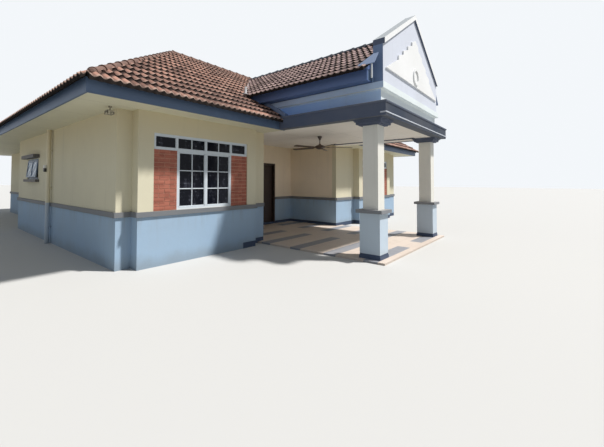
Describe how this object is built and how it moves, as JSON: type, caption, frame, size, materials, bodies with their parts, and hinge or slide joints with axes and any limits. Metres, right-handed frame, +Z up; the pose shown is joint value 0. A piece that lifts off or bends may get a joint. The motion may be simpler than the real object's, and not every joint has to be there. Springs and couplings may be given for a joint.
{
  "type": "bungalow",
  "caption": "Single-storey hipped-roof bungalow with bay windows, a gabled car porch on square columns, an entrance door and a porch ceiling fan.",
  "frame": {"origin": "centre of the footprint's bounding box, on the ground", "axes": "+X to the right along the front, +Y from the front to the rear, +Z up; the front with the porch faces -Y"},
  "size_m": [14.46, 18.095, 5.582],
  "materials": {
    "painted_wall": "painted plaster, cream above and pale blue below the band",
    "blue_paint": "painted plaster",
    "grey_paint": "painted plaster",
    "slate_paint": "painted plaster",
    "pale_paint": "painted plaster",
    "white_paint": "painted plaster",
    "brick": "fair-faced brick with lighter joints",
    "roof_tile": "weathered roll tiles",
    "board": "painted boards",
    "slate_board": "painted boards",
    "door_wood": "dark stained",
    "frame": "powder coated",
    "glass": "clear",
    "floor": "tiled concrete",
    "fan_metal": "dark enamel",
    "pipe": "painted pipe"
  },
  "bodies": {
    "house": {"floor_slab": "floor", "porch_floor": "floor", "wall_front_left": "painted_wall", "wall_left": "painted_wall", "wall_left_rear": "painted_wall", "wall_rear": "painted_wall", "wall_right": "painted_wall", "wall_front_right": "painted_wall", "wall_hall_side": "painted_wall", "wall_wing_inner": "painted_wall", "wall_entry_left": "painted_wall", "wall_entry_right": "painted_wall", "wall_entry_over": "painted_wall", "band_left": "grey_paint", "band_right": "grey_paint", "band_entry": "grey_paint", "brick_panels": "brick", "front_frames": "frame", "front_glass": "glass", "small_windows": "frame", "small_glass": "glass", "window_hoods": "grey_paint", "door_frame": "door_wood", "pedestals": "blue_paint", "shafts": "painted_wall", "column_rings": "grey_paint", "capitals": "slate_paint", "porch_beam": "slate_paint", "porch_ceiling": "board", "porch_frieze": "pale_paint", "porch_cornice": "pale_paint", "gable_wall": "pale_paint", "raking_cornice": "white_paint", "pediment_relief": "white_paint", "porch_fascia": "slate_board", "porch_roof": "roof_tile", "main_roof": "roof_tile", "fascia": "slate_board", "soffit": "board", "flashings": "slate_board", "fan_mount": "fan_metal", "downpipes": "pipe", "fittings": "pipe"},
    "door": {"door_leaf": "door_wood"},
    "fan": {"fan_rotor": "fan_metal"}
  },
  "joints": [
    {"name": "entrance_door", "type": "hinge", "parent": "house", "child": "door", "pos_m": [-0.858, -3.6795, 1.15], "axis": [0, 0, 1], "range_deg": [0, 95]},
    {"name": "ceiling_fan", "type": "hinge", "parent": "house", "child": "fan", "pos_m": [-1.075, -6.4775, 2.52], "axis": [0, 0, 1], "continuous": true}
  ]
}
